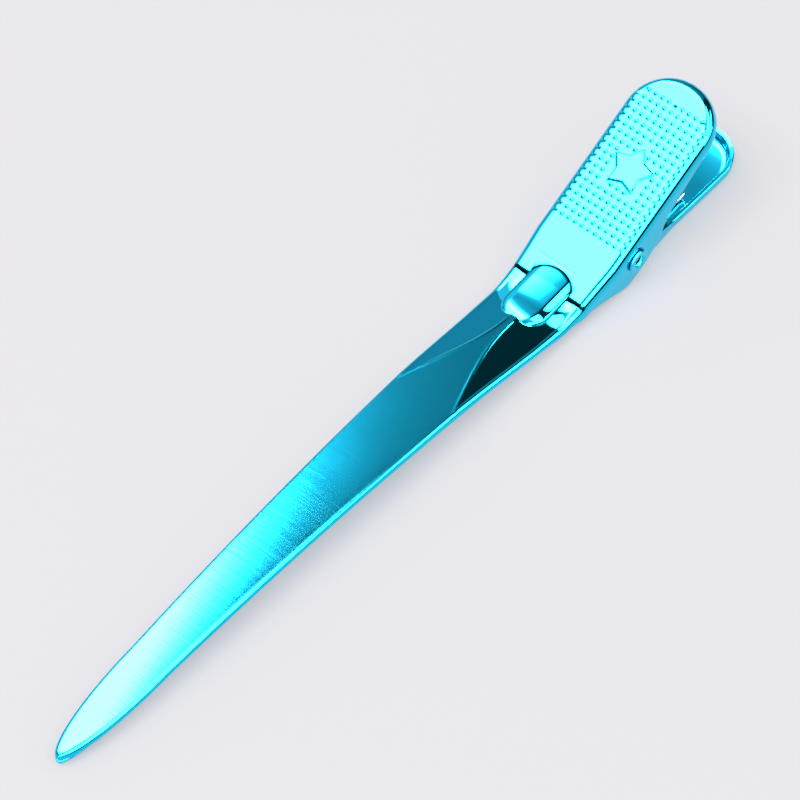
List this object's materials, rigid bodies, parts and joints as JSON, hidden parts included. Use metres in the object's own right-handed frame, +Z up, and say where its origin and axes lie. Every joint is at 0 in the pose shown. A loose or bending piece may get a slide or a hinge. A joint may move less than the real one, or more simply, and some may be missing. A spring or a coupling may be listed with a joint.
{
  "type": "sectioning clip",
  "caption": "Long slender sprung metal hair clip with two narrow rounded blades, a raised thumb pad with grip dots and a riveted pivot with a leaf spring.",
  "frame": {"origin": "centre of the bounding box in plan, at the level of the surface that the lower jaw rests on", "axes": "+Y along the clip from the blade tips to the thumb tails, +X across the clip along the pivot pin, +Z up from the lower jaw to the thumb pad"},
  "size_m": [0.0116, 0.1074, 0.014],
  "materials": {
    "jaw_plating": "cyan electroplated mirror finish on stamped steel, finely brushed along the blades",
    "rivet_plating": "cyan electroplated mirror finish on the rivet",
    "spring_steel": "bright rolled spring steel strip"
  },
  "bodies": {
    "lower": {"lower_jaw": "jaw_plating", "pivot_pin": "rivet_plating", "leaf_spring": "spring_steel"},
    "upper": {"upper_jaw": "jaw_plating"}
  },
  "joints": [
    {"name": "jaw_hinge", "type": "hinge", "parent": "lower", "child": "upper", "pos_m": [0, 0.0327, 0.0035], "axis": [-1, 0, 0], "range_deg": [0, 24], "stiffness_Nm_per_rad": 0.02, "springref_deg": -34.38, "deforming": ["leaf_spring"]}
  ]
}
